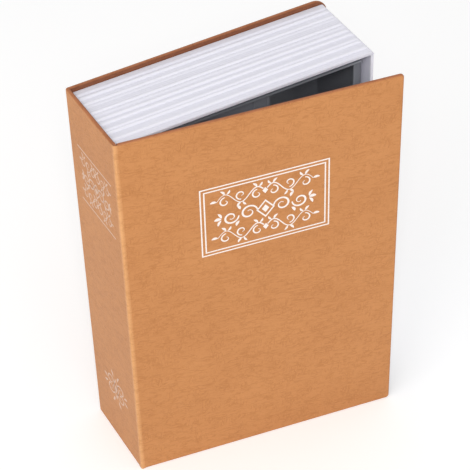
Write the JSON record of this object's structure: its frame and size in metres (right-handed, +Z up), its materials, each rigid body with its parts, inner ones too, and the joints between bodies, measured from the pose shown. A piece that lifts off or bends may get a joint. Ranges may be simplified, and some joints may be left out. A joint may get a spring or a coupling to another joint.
{
  "type": "book diversion safe",
  "caption": "Dummy hardback book that hides a lockable steel tray behind its hinged front cover and ribbed plastic page edges.",
  "frame": {"origin": "under the middle of the part's outer size, at the height of the tail edge that it stands on", "axes": "+Z up from tail to head, +X from the spine to the fore-edge, +Y from the front cover to the back cover"},
  "size_m": [0.155, 0.0802, 0.24],
  "materials": {
    "cover_paper": "satin embossed covering paper",
    "endpaper": "matt paper",
    "grey_board": "raw grey board",
    "page_plastic": "satin moulded white",
    "dark_steel": "satin powder coat",
    "zinc_steel": "zinc plated",
    "nickel": "nickel plated",
    "white_foil": "hot-stamped white foil"
  },
  "bodies": {
    "case": {"back_cover_paper": "cover_paper", "back_board": "grey_board", "back_endpaper": "endpaper", "spine_paper": "cover_paper", "spine_board": "grey_board", "spine_lining": "endpaper", "cover_fold": "cover_paper", "pages_head": "page_plastic", "pages_tail": "page_plastic", "pages_fore_edge": "page_plastic", "steel_tray": "dark_steel", "pocket_plate": "dark_steel", "tray_rivet_1": "zinc_steel", "tray_rivet_2": "zinc_steel", "tray_rivet_3": "zinc_steel", "tray_rivet_4": "zinc_steel", "fixed_leaf_lower": "dark_steel", "fixed_leaf_upper": "dark_steel", "hinge_pin_lower": "zinc_steel", "hinge_pin_upper": "zinc_steel", "fixed_leaf_rivet_lower_1": "zinc_steel", "fixed_leaf_rivet_lower_2": "zinc_steel", "fixed_leaf_rivet_upper_1": "zinc_steel", "fixed_leaf_rivet_upper_2": "zinc_steel"},
    "front_cover": {"front_cover_paper": "cover_paper", "front_board": "grey_board", "front_endpaper": "endpaper"},
    "lid": {"steel_lid": "dark_steel", "lid_leaf_lower": "dark_steel", "lid_leaf_upper": "dark_steel", "lid_leaf_rivet_lower_1": "zinc_steel", "lid_leaf_rivet_lower_2": "zinc_steel", "lid_leaf_rivet_upper_1": "zinc_steel", "lid_leaf_rivet_upper_2": "zinc_steel", "lock_housing": "nickel", "lock_nut": "zinc_steel"},
    "lock_turning": {"lock_plug": "nickel", "lock_cam": "zinc_steel", "cam_screw": "zinc_steel"}
  },
  "joints": [
    {"name": "cover_hinge", "type": "hinge", "parent": "case", "child": "front_cover", "pos_m": [-0.0764, -0.01384, 0.12], "axis": [0, 0, -1], "range_deg": [-9.4, 170.6]},
    {"name": "lid_hinge", "type": "hinge", "parent": "case", "child": "lid", "pos_m": [-0.0684, -0.01044, 0.12], "axis": [0, 0, -1], "range_deg": [-7.52, 136.48]},
    {"name": "lock_turn", "type": "hinge", "parent": "lid", "child": "lock_turning", "pos_m": [0.05463, -0.02668, 0.12], "axis": [0.1309, 0.9914, 0], "range_deg": [0, 90]}
  ],
  "couplings": [
    {"joint": "lid_hinge", "follows": "cover_hinge", "ratio": 0.8}
  ]
}
